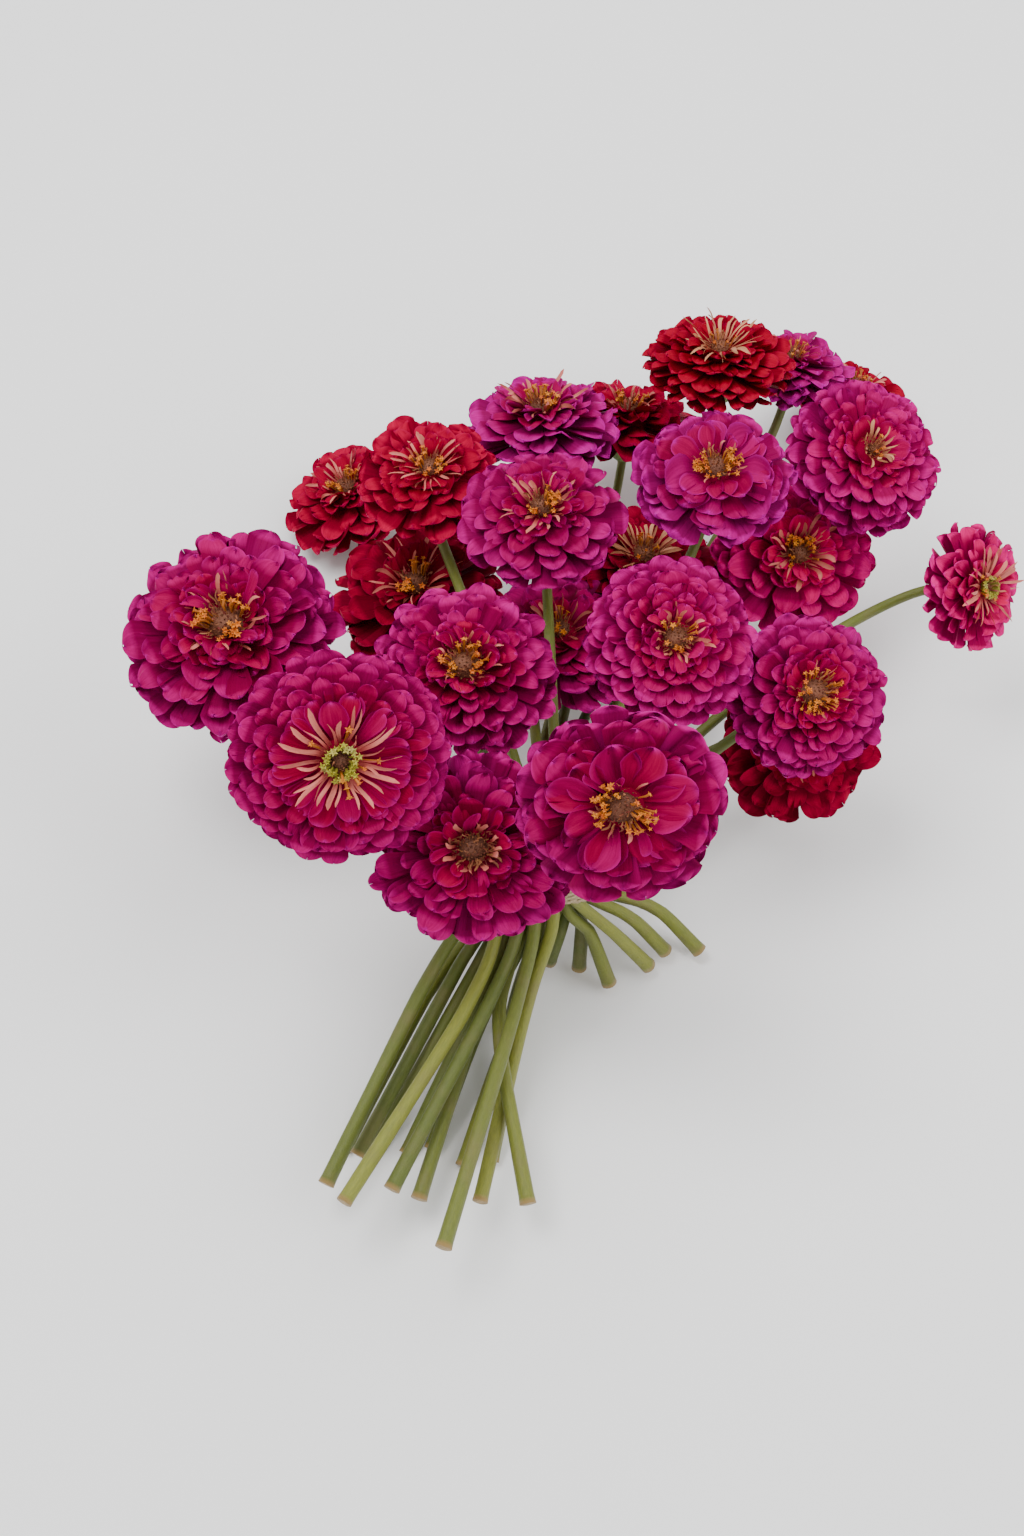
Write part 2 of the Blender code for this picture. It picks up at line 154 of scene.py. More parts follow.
def add_petal(soup, rng, phi, start, tip, seen, half, bend, tint):
    """One petal from start (radius, height) to tip; seen is the radius where it comes into view."""
    length = tip[0] - start[0]
    hidden = min(0.9, max(0.1, (seen - start[0]) / length - 0.05))
    s = petal_samples(hidden, 11)
    v = np.linspace(-1, 1, 9)
    ss, vv = np.meshgrid(s, v, indexing="ij")
    widest = 1 - bend["blunt"] * half / length
    grow = np.clip(ss / widest, 0, 1)
    end = np.clip((ss - widest) / (1 - widest), 0, 1)
    h = half * (0.22 + 0.78 * grow**bend["taper"]) * np.sqrt(np.maximum(0.0, 1 - end**2.2)) + 0.004
    notch = bend["notch"] * np.exp(-(vv / 0.4) ** 2) * end**3
    rho = start[0] + length * ss - notch
    lat = h * vv + bend["sway"] * ss**2
    z = start[1] + (tip[1] - start[1]) * ss + bend["arch"] * np.sin(math.pi * ss**0.8)
    z = z - bend["curl"] * np.clip((ss - hidden) / (1 - hidden), 0, 1) ** 2.5
    z = z + h * (bend["cup"] * vv**2 + bend["roll"] * vv)
    z = z - bend["pleat"] * h * np.cos(3 * math.pi * vv) * np.sin(math.pi * np.clip(ss * 1.02, 0, 1)) ** 0.5
    z = z + bend["wave"] * half * np.sin(5 * vv + bend["phase"]) * end
    c = math.cos(phi)
    d = math.sin(phi)
    pts = np.stack([rho * c - lat * d, rho * d + lat * c, z], 2)
    # The first colour key runs from 0 where the petal lies covered to 1 at its tip; the material paints shade near 0
    # and a highlight at the tip and edges.
    shown = np.clip((ss - hidden) / (1 - hidden), 0, 1)
    keys = np.stack([shown, vv * 0.5 + 0.5, np.full_like(ss, rng.uniform(0, 1)), np.full_like(ss, tint)], 2)
    soup.grid(pts, keys)


# Petal profile from the outermost in: tip radius, tip height, petals in one turn
TIERS = {
    "broad": ((0.93, -0.27, 14), (1.02, -0.16, 14), (1.04, -0.04, 14), (0.97, 0.06, 14), (0.85, 0.13, 13),
              (0.70, 0.185, 12)),
    "full": ((0.92, -0.27, 20), (1.01, -0.17, 21), (1.04, -0.05, 21), (0.97, 0.05, 20), (0.86, 0.12, 19),
             (0.70, 0.19, 17), (0.52, 0.25, 14), (0.42, 0.28, 10)),
    "pleated": ((0.92, -0.27, 22), (1.01, -0.17, 23), (1.04, -0.05, 24), (0.98, 0.04, 24), (0.90, 0.10, 24),
                (0.78, 0.15, 23), (0.64, 0.19, 19)),
    "dense": ((0.92, -0.27, 22), (1.01, -0.16, 23), (1.04, -0.04, 23), (0.96, 0.06, 22), (0.81, 0.14, 20),
              (0.62, 0.21, 17), (0.47, 0.26, 12)),
    "loose": ((0.92, -0.27, 14), (1.02, -0.15, 15), (1.04, -0.02, 15), (0.90, 0.08, 15), (0.70, 0.17, 14),
              (0.48, 0.25, 10)),
}
# Profile, petal width, convexity and unruliness by heart style
HABIT = {
    "tangled": ("loose", 1.0, 0.05, 1.5),
    "cone": ("broad", 1.14, 0.1, 1.5), "ring": ("full", 1.06, 0.1, 1.4), "messy": ("full", 1.02, 0.2, 1.7),
    "tan": ("full", 1.08, 0.3, 1.2), "papery": ("dense", 1.0, 0.15, 1.9), "cream": ("full", 1.02, 0.1, 1.6),
    "quills": ("pleated", 1.04, 0.15, 0.9), "quills_small": ("loose", 0.92, 0.15, 1.5),
    "tan_quills": ("loose", 1.0, 0.0, 1.5), "olive": ("dense", 0.98, 0.1, 1.2), "small": ("loose", 1.02, 0.1, 1.5),
}
# Small petals that stand up among the quills
STRAYS = {"tangled": 16, "tan_quills": 9, "messy": 8, "tan": 7, "papery": 12, "ring": 4, "cone": 3, "small": 5}
GOLDEN_ANGLE = math.pi * (3 - math.sqrt(5))


def add_receptacle(soup):
    """The green and red core that the petals grow from, from the calyx up to the heart."""
    angle = np.arange(16) * math.pi / 8
    rings = []
    for r, z in ((0.10, -0.345), (0.27, -0.345), (0.32, -0.28), (0.30, -0.10), (0.25, 0.08), (0.20, 0.19), (0.02, 0.21)):
        rings.append(np.stack([r * np.cos(angle), r * np.sin(angle), z + 0 * angle], 1))
    # Colour keys of zero give this core the petals' painted shade, darkened like a covered petal base.
    keys = np.zeros((len(rings), 16, 4))
    keys[..., 2] = 0.3
    keys[..., 3] = 1.0
    soup.grid(np.array(rings), keys, closed=True)


def petals_of(number, style):
    """Petals on one spiral from the rim to the heart, as zinnia florets grow."""
    rng = np.random.default_rng(100 + number)
    soup = Soup()
    add_receptacle(soup)
    plan, wide, cup, wild = HABIT[style]
    tip_r, tip_z, turn_count = np.array(TIERS[plan]).T
    marks = np.concatenate([[0.0], np.cumsum(turn_count)[:-1]])
    total = int(turn_count.sum())
    start_angle = rng.uniform(0, 6.28)
    for k in range(total):
        n = np.interp(k, marks, turn_count)
        r1 = np.interp(k, marks, tip_r)
        t = min(1.0, k / marks[-1])
        seen = np.interp(k + 0.9 * n, marks, tip_r) if k + 0.5 * n < marks[-1] else 0.24
        phi = start_angle + k * GOLDEN_ANGLE + wild * rng.uniform(-0.45, 0.45) * math.pi / n
        size = rng.uniform(0.76, 1.2)
        half = wide * math.pi * r1 / n * size
        stand = 0.08 * wild * max(0.0, rng.normal(0.0, 0.6)) * (t > 0.35)
        short = wild * rng.uniform(-0.08, 0.025) * (1.0 - 0.4 * (t < 0.3))
        tip = (r1 * (1 + short) - 0.5 * stand, np.interp(k, marks, tip_z) + stand)
        bend = {"blunt": rng.uniform(1.0, 1.5), "taper": rng.uniform(0.8, 1.2),
                "notch": rng.uniform(-0.01, 0.04), "sway": wild * rng.uniform(-0.035, 0.035),
                "arch": 0.025 + 0.025 * rng.uniform(-1, 1), "curl": wild * rng.uniform(-0.03, 0.035),
                "cup": cup + wild * rng.uniform(-0.4, 0.4), "roll": wild * rng.uniform(-0.32, 0.32),
                "wave": wild * rng.uniform(0.03, 0.16), "phase": rng.uniform(0, 6.28),
                "pleat": rng.uniform(0.03, 0.14)}
        start = (0.18, -0.33 + 0.47 * t**0.7)
        add_petal(soup, rng, phi, start, tip, seen, half, bend, t)
    for k in range(STRAYS.get(style, 0)):
        r1 = rng.uniform(0.32, 0.52)
        bend = {"blunt": rng.uniform(0.8, 1.3), "taper": rng.uniform(0.7, 1.0), "notch": 0.0,
                "sway": rng.uniform(-0.12, 0.12), "arch": rng.uniform(-0.02, 0.05), "curl": rng.uniform(-0.05, 0.06),
                "cup": rng.uniform(0.2, 0.9), "roll": rng.uniform(-0.7, 0.7), "wave": rng.uniform(0.1, 0.3),
                "phase": rng.uniform(0, 6.28), "pleat": rng.uniform(0.0, 0.1)}
        tip = (r1, rng.uniform(0.30, 0.42) - 0.2 * (r1 - 0.32))
        add_petal(soup, rng, rng.uniform(0, 6.28), (0.14, 0.17), tip, 0.2, rng.uniform(0.04, 0.075), bend, 1.0)
    return soup


def add_quill(soup, rng, phi, r0, z0, r1, z1, half, arch, twist):
    rows = 8
    s = np.linspace(0, 1, rows)
    v = np.linspace(-1, 1, 3)
    ss, vv = np.meshgrid(s, v, indexing="ij")
    h = half * (0.5 + 0.5 * ss) * np.sqrt(1.02 - ss**9)
    rho = r0 + (r1 - r0) * ss
    z = z0 + (z1 - z0) * ss + arch * np.sin(math.pi * ss) + h * 0.6 * vv**2
    lat = h * vv * np.cos(twist * ss) + 0.03 * np.sin(twist * 2 + ss * 4) * ss
    z = z + h * vv * np.sin(twist * ss)
    c = math.cos(phi)
    d = math.sin(phi)
    pts = np.stack([rho * c - lat * d, rho * d + lat * c, z], 2)
    keys = np.stack([ss, vv * 0.5 + 0.5, np.full_like(ss, rng.uniform(0, 1)), np.zeros_like(ss)], 2)
    soup.grid(pts, keys)


def add_floret(soup, rng, phi, r, z, size, lean):
    """A disc floret: a short tube that opens in five pointed lobes."""
    cols = 10
    a = np.arange(cols) * 2 * math.pi / cols
    star = np.where(np.arange(cols) % 2 == 0, 1.0, 0.42)
    rings = ((0.30, -0.9, 0.0), (0.34, 0.0, 0.0), (0.55, 0.35, 0.35), (1.0, 0.30, 1.0))
    e_r = np.array([math.cos(phi), math.sin(phi), 0.0])
    e_t = np.array([-math.sin(phi), math.cos(phi), 0.0])
    up = unit(e_r * math.sin(lean) + np.array([0, 0, 1.0]) * math.cos(lean))
    out = unit(e_r - up * (e_r @ up))
    centre = e_r * r + np.array([0, 0, z])
    value = rng.uniform(0, 1)
    root = e_r * 0.55 * r + np.array([0, 0, 0.17])
    pts = [root + 0.2 * size * (np.cos(a)[:, None] * out + np.sin(a)[:, None] * e_t)]
    keys = [np.stack([np.zeros(cols), a / 6.3, np.full(cols, value), np.full(cols, 1.0)], 1)]
    for rad, high, mix in rings:
        radius = size * rad * (1 - mix + mix * star)
        p = centre + (np.cos(a) * radius)[:, None] * out + (np.sin(a) * radius)[:, None] * e_t
        pts.append(p + up * high * size)
        keys.append(np.stack([np.full(cols, mix), a / 6.3, np.full(cols, value), np.full(cols, 1.0)], 1))
    inner = centre + up * 0.05 * size + 0 * pts[0]
    pts.append(0.25 * (pts[-1] - centre) * 0.4 + inner)
    keys.append(np.stack([np.full(cols, 0.2), a / 6.3, np.full(cols, value), np.full(cols, 1.0)], 1))
    soup.grid(np.array(pts), np.array(keys), closed=True)


def add_cone(soup, rng, radius, z0, height, count, spike, dark):
    """The middle of the heart: a low cone of dry pointed scales on a spiral."""
    rows = 7
    cols = 20
    s = np.linspace(0, 1, rows)
    a = np.arange(cols) * 2 * math.pi / cols
    ss, aa = np.meshgrid(s, a, indexing="ij")
    rad = radius * (1 - ss) ** 0.7 * (1 + 0.06 * np.sin(5 * aa + 9 * ss))
    pts = np.stack([rad * np.cos(aa), rad * np.sin(aa), z0 + height * (1 - (1 - ss) ** 2)], 2)
    keys = np.stack([ss, aa / 6.3, 0.5 + 0 * ss, np.full_like(ss, 0.3 + 0.3 * dark)], 2)
    soup.grid(pts, keys, closed=True)
    for k in range(count):
        f = (k + 0.5) / count
        phi = k * 2.39996
        r = radius * math.sqrt(f) * 1.02
        z = z0 + height * (1 - f) * 0.95
        size = spike * rng.uniform(0.7, 1.3)
        e_r = np.array([math.cos(phi), math.sin(phi), 0.0])
        e_t = np.array([-math.sin(phi), math.cos(phi), 0.0])
        up = unit(e_r * (0.3 + 0.9 * f) + np.array([0, 0, 1.0]))
        q = np.arange(4) * math.pi / 2
        ring = []
        for width, high in ((0.34, -0.2), (0.38, 0.45), (0.04, 1.0)):
            p = e_r * r + np.array([0, 0, z]) + up * high * size
            ring.append(p + (np.cos(q) * width * size)[:, None] * e_t
                        + (np.sin(q) * width * size * 0.6)[:, None] * np.cross(up, e_t))
        shade = np.array([0.0, 0.4, 1.0])[:, None] * np.ones(4)
        keys = np.stack([shade, 0.5 + 0 * shade, np.full((3, 4), rng.uniform(0, 1)),
                         np.full((3, 4), 0.25 + 0.35 * (1 - f) * dark)], 2)
        soup.grid(np.array(ring), keys, closed=True)


def add_chaff(soup, rng, count, radius, z0, height, length):
    """Dry scales and spent styles that stand among the florets, tangled and of mixed colour."""
    for k in range(count):
        phi = rng.uniform(0, 6.28)
        r = radius * math.sqrt(rng.uniform(0.02, 1.0))
        reach = length * rng.uniform(0.35, 1.1)
        lean = rng.uniform(0.1, 1.0) * (0.3 + 0.9 * r / radius)
        add_quill(soup, rng, phi + rng.uniform(-0.3, 0.3), r, z0 + height * (1 - (r / radius) ** 2),
                  r + reach * lean, z0 + height * (1 - (r / radius) ** 2) + reach * (1.1 - 0.6 * lean),
                  0.10 * length * rng.uniform(0.5, 1.3), rng.uniform(-0.02, 0.03), rng.uniform(-2.5, 2.5))


# Quills: count, length, half width. Florets: count, ring radius, size, clusters. Cone: radius, darkness, chaff
HEARTS = {
    "quills": ((30, 0.42, 0.026), (9, 0.26, 0.046, 0), (0.11, 1.0, 12)),
    "quills_small": ((30, 0.56, 0.034), (6, 0.24, 0.050, 0), (0.10, 0.2, 10)),
    "papery": ((16, 0.12, 0.030), (0, 0, 0, 0), (0.15, 1.0, 90)),
    "cone": ((9, 0.18, 0.020), (40, 0.25, 0.042, 2), (0.17, 0.8, 60)),
    "messy": ((16, 0.22, 0.022), (34, 0.21, 0.040, 3), (0.17, 0.6, 80)),
    "tan": ((20, 0.22, 0.024), (12, 0.20, 0.040, 3), (0.15, 0.5, 60)),
    "tangled": ((20, 0.36, 0.032), (26, 0.19, 0.044, 1), (0.15, 0.6, 60)),
    "ring": ((8, 0.17, 0.020), (40, 0.25, 0.038, 1), (0.18, 0.6, 60)),
    "cream": ((22, 0.20, 0.026), (6, 0.12, 0.034, 0), (0.08, 0.2, 20)),
    "olive": ((30, 0.42, 0.024), (8, 0.16, 0.040, 0), (0.13, 0.2, 40)),
    "tan_quills": ((22, 0.40, 0.028), (20, 0.20, 0.046, 2), (0.15, 0.6, 50)),
    "small": ((14, 0.24, 0.024), (14, 0.18, 0.040, 2), (0.14, 0.5, 30)),
}


LIME_HEARTS = ("quills", "quills_small")


def hearts_of(number, style):
    rng = np.random.default_rng(500 + number)
    quills = Soup()
    florets = Soup()
    cone = Soup()
    (qn, ql, qw), (fn, fr, fs, groups), (cr, dark, chaff) = HEARTS[style]
    top = 0.20
    for k in range(qn):
        phi = 2 * math.pi * (k + rng.uniform(-0.5, 0.5)) / qn
        r0 = cr + rng.uniform(0.0, 0.06)
        length = ql * rng.uniform(0.35, 1.08)
        z0 = top + rng.uniform(-0.03, 0.01)
        rise = 0.07 + 0.15 * rng.uniform(0.1, 1.3)
        add_quill(quills, rng, phi, r0, z0, r0 + length, z0 + rise, qw * rng.uniform(0.6, 1.3),
                  rng.uniform(-0.01, 0.08), rng.uniform(-2.2, 2.2))
    middles = rng.uniform(0, 6.28) + np.arange(max(1, groups)) * 2 * math.pi / max(1, groups)
    spread = {0: 3.14, 1: 2.5, 2: 1.0, 3: 0.75}[groups]
    for k in range(fn):
        phi = middles[k % len(middles)] + spread * rng.normal(0, 0.55)
        r = fr * rng.uniform(0.55, 1.25)
        add_floret(florets, rng, phi, r, top + 0.14 - 0.3 * (r - fr) + rng.uniform(-0.02, 0.05),
                   fs * rng.uniform(0.6, 1.25), rng.uniform(0.1, 1.3))
    add_cone(cone, rng, cr, top - 0.02, 0.10, 60, 0.035, dark)
    add_chaff(cone, rng, chaff, cr * 1.15, top + 0.02, 0.08, 0.13)
    limes = Soup()
    for k in range(28 if style in LIME_HEARTS else 0):
        r = 0.145 * rng.uniform(0.75, 1.2)
        add_floret(limes, rng, k * 2 * math.pi / 28, r, top + 0.13 + rng.uniform(-0.02, 0.03),
                   0.042 * rng.uniform(0.8, 1.25), rng.uniform(0.1, 0.9))
    return quills, florets, limes, cone


# Materials
def nodes_of(name):
    mat = bpy.data.materials.new(name)
    mat.use_nodes = True
    tree = mat.node_tree
    return mat, tree, tree.nodes["Principled BSDF"]


def make(tree, kind, **settings):
    node = tree.nodes.new(kind)
    for key, value in settings.items():
        setattr(node, key, value)
    return node


def attribute(tree):
    node = make(tree, "ShaderNodeAttribute", attribute_name="key")
    split = make(tree, "ShaderNodeSeparateColor")
    tree.links.new(node.outputs["Color"], split.inputs[0])
    return split.outputs[0], split.outputs[1], split.outputs[2], node.outputs["Alpha"]


def math_node(tree, operation, a, b=None, clamp=False):
    node = make(tree, "ShaderNodeMath", operation=operation, use_clamp=clamp)
    for socket, value in zip(node.inputs, (a, b)):
        if value is None:
            continue
        if isinstance(value, (int, float)):
            socket.default_value = value
        else:
            tree.links.new(value, socket)
    return node.outputs[0]


def blend(tree, factor, a, b, mode="MIX"):
    node = make(tree, "ShaderNodeMix", data_type="RGBA", blend_type=mode)
    for socket, value in ((node.inputs[0], factor), (node.inputs[6], a), (node.inputs[7], b)):
        if isinstance(value, tuple):
            socket.default_value = (*value, 1.0)
        elif isinstance(value, (int, float)):
            socket.default_value = value
        else:
            tree.links.new(value, socket)
    return node.outputs[2]


def ramp(tree, value, stops):
    node = make(tree, "ShaderNodeValToRGB")
    tree.links.new(value, node.inputs[0])
    while len(node.color_ramp.elements) < len(stops):
        node.color_ramp.elements.new(0.5)
    for element, (place, colour) in zip(node.color_ramp.elements, stops):
        element.position = place
        element.color = (*colour, 1.0)
    return node.outputs[0]


def noise(tree, vector, scale, detail=3.0, rough=0.55):
    node = make(tree, "ShaderNodeTexNoise")
    node.inputs["Scale"].default_value = scale
    node.inputs["Detail"].default_value = detail
    node.inputs["Roughness"].default_value = rough
    if vector is not None:
        tree.links.new(vector, node.inputs["Vector"])
    return node.outputs["Fac"]


def object_place(tree):
    return make(tree, "ShaderNodeTexCoord").outputs["Object"]


def combine(tree, x, y, z):
    node = make(tree, "ShaderNodeCombineXYZ")
    for socket, value in zip(node.inputs, (x, y, z)):
        if isinstance(value, (int, float)):
            socket.default_value = value
        else:
            tree.links.new(value, socket)
    return node.outputs[0]


def bump(tree, shader, height, strength, distance):
    node = make(tree, "ShaderNodeBump")
    node.inputs["Strength"].default_value = strength
    node.inputs["Distance"].default_value = distance
    tree.links.new(height, node.inputs["Height"])
    tree.links.new(node.outputs[0], shader.inputs["Normal"])


PETAL_COLOURS = {
    # painted shade at the base, inner face, outer face, painted highlight at the rim
    "magenta": ((0.100, 0.0, 0.003), (0.34, 0.0, 0.040), (0.44, 0.0, 0.185), (0.56, 0.002, 0.36)),
    "bright": ((0.120, 0.0, 0.004), (0.40, 0.0, 0.056), (0.50, 0.0, 0.215), (0.62, 0.003, 0.41)),
    "violet": ((0.110, 0.0, 0.005), (0.28, 0.0, 0.048), (0.52, 0.0, 0.280), (0.66, 0.003, 0.50)),
    "purple": ((0.095, 0.0, 0.003), (0.35, 0.0, 0.043), (0.49, 0.0, 0.205), (0.60, 0.002, 0.38)),
    "rose": ((0.090, 0.0, 0.003), (0.26, 0.0, 0.026), (0.43, 0.0, 0.145), (0.56, 0.002, 0.32)),
    "crimson": ((0.100, 0.0, 0.003), (0.28, 0.0, 0.038), (0.45, 0.0, 0.185), (0.58, 0.003, 0.36)),
    "darkrose": ((0.110, 0.0, 0.004), (0.58, 0.0, 0.070), (0.68, 0.0, 0.210), (0.76, 0.004, 0.38)),
    "scarlet": ((0.080, 0.0, 0.001), (0.32, 0.0, 0.020), (0.45, 0.0, 0.042), (0.56, 0.002, 0.12)),
    "red": ((0.070, 0.0, 0.001), (0.29, 0.0, 0.013), (0.36, 0.0, 0.022), (0.48, 0.002, 0.08)),
    "darkred": ((0.055, 0.0, 0.002), (0.25, 0.0, 0.016), (0.34, 0.0, 0.030), (0.44, 0.002, 0.07)),
}


def petal_material(name):
    painted_base_shade, inner, outer, rim = PETAL_COLOURS[name]
    mat, tree, shader = nodes_of("petal_" + name)
    s, v, rand, layer = attribute(tree)
    low = math_node(tree, "MULTIPLY", math_node(tree, "SUBTRACT", 1.0, layer), 1.6)
    side = math_node(tree, "MULTIPLY_ADD", rand, 0.5)
    side.node.inputs[2].default_value = -0.20
    hue = math_node(tree, "ADD", low, side, clamp=True)
    face = blend(tree, hue, inner, outer)
    place = combine(tree, math_node(tree, "MULTIPLY", v, 16.0), math_node(tree, "MULTIPLY", s, 1.2),
                    math_node(tree, "MULTIPLY", rand, 37.0))
    veins = noise(tree, place, 1.0, 2.0)
    streak = ramp(tree, veins, ((0.30, (0.62, 0.6, 0.60)), (0.66, (1.15, 1.0, 1.2))))
    face = blend(tree, 0.6, face, streak, "MULTIPLY")
    patch = noise(tree, object_place(tree), 160.0, 2.0)
    face = blend(tree, math_node(tree, "MULTIPLY", patch, 0.4), face, inner)
    # Painted shade: the petal darkens towards its deep base colour where it runs in under the petal above.
    base = ramp(tree, s, ((0.0, (1, 1, 1)), (0.42, (0, 0, 0))))
    face = blend(tree, math_node(tree, "MULTIPLY", base, 0.6), face, painted_base_shade)
    # Painted highlight: a pale rim colour is laid along the petal's side edges and its tip.
    edge = math_node(tree, "ABSOLUTE", math_node(tree, "SUBTRACT", v, 0.5))
    edge = math_node(tree, "MULTIPLY", edge, 2.0)
    edge = math_node(tree, "MAXIMUM", math_node(tree, "POWER", edge, 12.0), math_node(tree, "POWER", s, 16.0))
    painted_rim_highlight = math_node(tree, "MULTIPLY", edge, math_node(tree, "MULTIPLY", s, 0.5))
    face = blend(tree, painted_rim_highlight, face, rim)
    tree.links.new(face, shader.inputs["Base Color"])
    rough = math_node(tree, "MULTIPLY_ADD", patch, 0.25)
    rough.node.inputs[2].default_value = 0.42
    tree.links.new(rough, shader.inputs["Roughness"])
    shader.inputs["Specular IOR Level"].default_value = 0.05
    shader.inputs["Specular Tint"].default_value = (1.0, 0.25, 0.75, 1.0)
    bump(tree, shader, veins, 0.4, 0.0007)
    return mat


def quill_material(name, tip, root):
    mat, tree, shader = nodes_of(name)
    s, v, rand, _ = attribute(tree)
    face = ramp(tree, s, ((0.0, root), (0.45, tip), (1.0, tuple(min(1, c * 1.12) for c in tip))))
    tone = ramp(tree, rand, ((0.0, (0.72, 0.62, 0.60)), (1.0, (1.15, 1.1, 1.05))))
    face = blend(tree, 0.8, face, tone, "MULTIPLY")
    fine = noise(tree, object_place(tree), 900.0, 3.0)
    face = blend(tree, math_node(tree, "MULTIPLY", fine, 0.5), face, root)
    tree.links.new(face, shader.inputs["Base Color"])
    rough = math_node(tree, "MULTIPLY_ADD", fine, 0.2)
    rough.node.inputs[2].default_value = 0.5
    tree.links.new(rough, shader.inputs["Roughness"])
    bump(tree, shader, fine, 0.3, 0.0004)
    return mat


def floret_material(name, root, tones, body):
    mat, tree, shader = nodes_of(name)
    s, v, rand, _ = attribute(tree)
    tone = ramp(tree, rand, tuple(zip((0.0, 0.5, 1.0), tones)))
    face = blend(tree, s, root, tone)
    fine = noise(tree, object_place(tree), 1200.0, 3.0)
    face = blend(tree, math_node(tree, "MULTIPLY", fine, 0.35), face, body)
    tree.links.new(face, shader.inputs["Base Color"])
    rough = math_node(tree, "MULTIPLY_ADD", fine, 0.25)
    rough.node.inputs[2].default_value = 0.45
    tree.links.new(rough, shader.inputs["Roughness"])
    bump(tree, shader, fine, 0.4, 0.0004)
    return mat


def cone_material():
    mat, tree, shader = nodes_of("cone")
    s, v, rand, dark = attribute(tree)
    tone = ramp(tree, rand, ((0.0, (0.22, 0.010, 0.020)), (0.3, (0.16, 0.030, 0.012)),
                            (0.6, (0.30, 0.110, 0.020)), (1.0, (0.46, 0.180, 0.080))))
    tone = blend(tree, math_node(tree, "MULTIPLY", dark, 1.5, clamp=True), tone, (0.030, 0.006, 0.005))
    face = blend(tree, math_node(tree, "MULTIPLY", s, 0.35), tone, (0.42, 0.15, 0.07))
    fine = noise(tree, object_place(tree), 1500.0, 3.0)
    face = blend(tree, math_node(tree, "MULTIPLY", fine, 0.4), face, (0.10, 0.018, 0.008))
    tree.links.new(face, shader.inputs["Base Color"])
    rough = math_node(tree, "MULTIPLY_ADD", fine, 0.2)
    rough.node.inputs[2].default_value = 0.6
    tree.links.new(rough, shader.inputs["Roughness"])
    bump(tree, shader, fine, 0.5, 0.0005)
    return mat


def stem_material():
    mat, tree, shader = nodes_of("stem_green")
    s, v, rand, cut = attribute(tree)
    tone = ramp(tree, rand, ((0.0, (0.080, 0.105, 0.003)), (0.5, (0.125, 0.145, 0.006)), (1.0, (0.20, 0.21, 0.016))))
    place = combine(tree, math_node(tree, "MULTIPLY", v, 22.0), math_node(tree, "MULTIPLY", s, 30.0),
                    math_node(tree, "MULTIPLY", rand, 50.0))
    long = noise(tree, place, 1.0, 3.0)
    streak = ramp(tree, long, ((0.3, (0.62, 0.66, 0.6)), (0.7, (1.18, 1.15, 1.1))))
    face = blend(tree, 0.6, tone, streak, "MULTIPLY")
    patch = noise(tree, object_place(tree), 70.0, 3.0)
    warm = ramp(tree, patch, ((0.5, (0, 0, 0)), (0.75, (0.55, 0.55, 0.55))))
    face = blend(tree, warm, face, (0.15, 0.12, 0.035))
    end = ramp(tree, cut, ((0.35, (0, 0, 0)), (0.9, (1, 1, 1))))
    face = blend(tree, end, face, (0.30, 0.19, 0.055))
    fine = noise(tree, object_place(tree), 1400.0, 2.0)
    tree.links.new(face, shader.inputs["Base Color"])
    rough = math_node(tree, "MULTIPLY_ADD", fine, 0.25)
    rough.node.inputs[2].default_value = 0.42
    tree.links.new(rough, shader.inputs["Roughness"])
    shader.inputs["Sheen Weight"].default_value = 0.08
    shader.inputs["Sheen Roughness"].default_value = 0.5
    bump(tree, shader, math_node(tree, "ADD", long, fine), 0.35, 0.0006)
    return mat


def scale_material():
    mat, tree, shader = nodes_of("calyx_scales")
    s, v, rand, _ = attribute(tree)
    tone = ramp(tree, rand, ((0.0, (0.10, 0.16, 0.03)), (1.0, (0.20, 0.27, 0.07))))
    edge = math_node(tree, "ABSOLUTE", math_node(tree, "SUBTRACT", v, 0.5))
    edge = math_node(tree, "POWER", math_node(tree, "MULTIPLY", edge, 2.0), 3.0)
    rim = math_node(tree, "MAXIMUM", edge, math_node(tree, "POWER", s, 5.0))
    face = blend(tree, math_node(tree, "MULTIPLY", rim, 0.9), tone, (0.030, 0.012, 0.015))
    fine = noise(tree, object_place(tree), 900.0, 3.0)
    face = blend(tree, math_node(tree, "MULTIPLY", fine, 0.4), face, (0.13, 0.17, 0.05))
    tree.links.new(face, shader.inputs["Base Color"])
    rough = math_node(tree, "MULTIPLY_ADD", fine, 0.2)
    rough.node.inputs[2].default_value = 0.5
    tree.links.new(rough, shader.inputs["Roughness"])
    bump(tree, shader, fine, 0.3, 0.0005)
    return mat


def twine_material():
    mat, tree, shader = nodes_of("twine_fibre")
    s, v, rand, _ = attribute(tree)
    place = combine(tree, math_node(tree, "MULTIPLY", v, 14.0), math_node(tree, "MULTIPLY", s, 160.0), 0.0)
    fibre = noise(tree, place, 1.0, 4.0)
    face = ramp(tree, fibre, ((0.25, (0.26, 0.17, 0.08)), (0.5, (0.52, 0.40, 0.24)), (0.75, (0.70, 0.60, 0.42))))
    fine = noise(tree, object_place(tree), 1500.0, 4.0)
    face = blend(tree, math_node(tree, "MULTIPLY", fine, 0.5), face, (0.42, 0.31, 0.18))
    tree.links.new(face, shader.inputs["Base Color"])
    rough = math_node(tree, "MULTIPLY_ADD", fine, 0.15)
    rough.node.inputs[2].default_value = 0.8
    tree.links.new(rough, shader.inputs["Roughness"])
    bump(tree, shader, math_node(tree, "ADD", fibre, fine), 0.8, 0.0008)
    return mat


